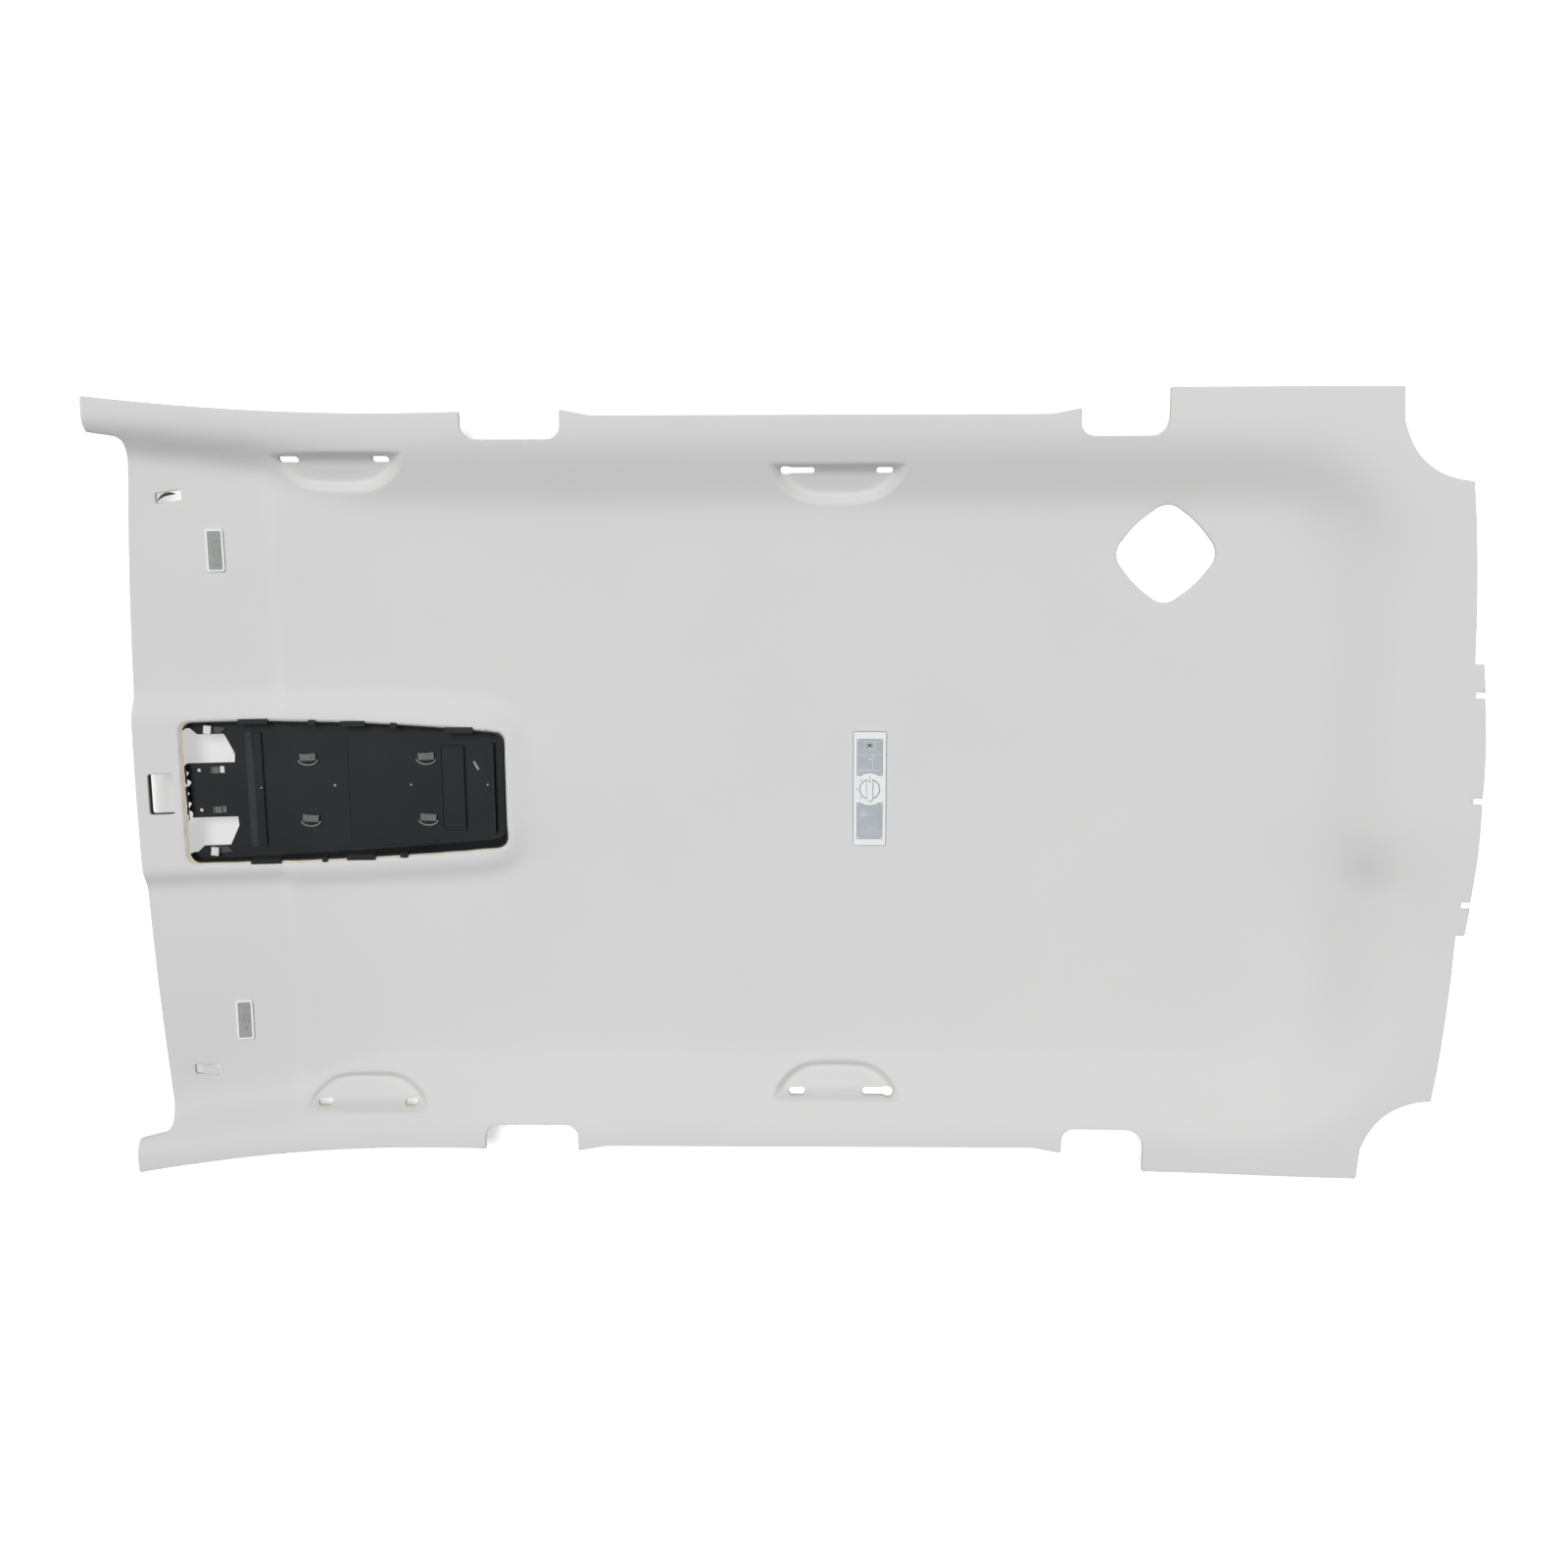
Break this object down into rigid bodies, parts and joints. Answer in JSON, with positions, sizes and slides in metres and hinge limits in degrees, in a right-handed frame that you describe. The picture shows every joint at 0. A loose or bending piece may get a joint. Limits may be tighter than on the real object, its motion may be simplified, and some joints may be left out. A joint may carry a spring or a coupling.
{
  "type": "car headliner panel",
  "caption": "Moulded car roof lining with console opening and carrier, handle pockets, belt opening, vanity lamps and a dome lamp with a rotary switch.",
  "frame": {"origin": "middle of the panel's footprint, on the surface it lies on, roof side down", "axes": "+Z out of the cabin face, +X to the rear of the car, +Y to the car's left side"},
  "size_m": [2.1604, 1.274, 0.1299],
  "materials": {
    "lining": "fine flat knit on a pressed fibre board, tan at cut edges",
    "black_moulding": "fine grain, slightly shiny",
    "spring_steel": "plain spring steel",
    "dark_steel": "dark phosphate coat",
    "pale_plastic": "natural moulding",
    "lamp_white": "fine grain, pale grey",
    "lamp_lens": "clear moulded lens with fine ribs behind",
    "lamp_housing": "plain moulding",
    "reflector": "bright tray",
    "bulb_glass": "clear festoon bulb",
    "contact_brass": "plain strip",
    "spacer_foam": "grey foam block"
  },
  "bodies": {
    "lining": {"headliner_panel": "lining", "console_frame": "black_moulding", "console_spring_clips": "spring_steel", "console_plate_clips": "pale_plastic", "console_locating_pegs": "pale_plastic", "sensor_window_frame": "black_moulding", "visor_clip_left": "dark_steel", "visor_clip_right": "dark_steel", "dome_bezel": "lamp_white", "dome_lens_left": "lamp_lens", "dome_lens_right": "lamp_lens", "dome_housing": "lamp_housing", "dome_reflector": "reflector", "dome_switch_cup": "lamp_housing", "dome_spring_clips": "spring_steel", "dome_bulb_left": "bulb_glass", "dome_contacts_left": "contact_brass", "dome_bulb_right": "bulb_glass", "dome_contacts_right": "contact_brass", "vanity_bezel_left": "lamp_white", "vanity_lens_left": "lamp_lens", "vanity_housing_left": "lamp_housing", "vanity_bulb_left": "bulb_glass", "vanity_contacts_left": "contact_brass", "vanity_bezel_right": "lamp_white", "vanity_lens_right": "lamp_lens", "vanity_housing_right": "lamp_housing", "vanity_bulb_right": "bulb_glass", "vanity_contacts_right": "contact_brass", "spacer_front_left": "spacer_foam", "spacer_front_right": "spacer_foam", "spacer_rear_left": "spacer_foam", "spacer_rear_right": "spacer_foam"},
    "switch_knob": {"dome_knob": "lamp_white"}
  },
  "joints": [
    {"name": "switch_turn", "type": "hinge", "parent": "lining", "child": "switch_knob", "pos_m": [0.125, 0, 0.03], "axis": [0, 0, 1], "range_deg": [0, 135]}
  ]
}
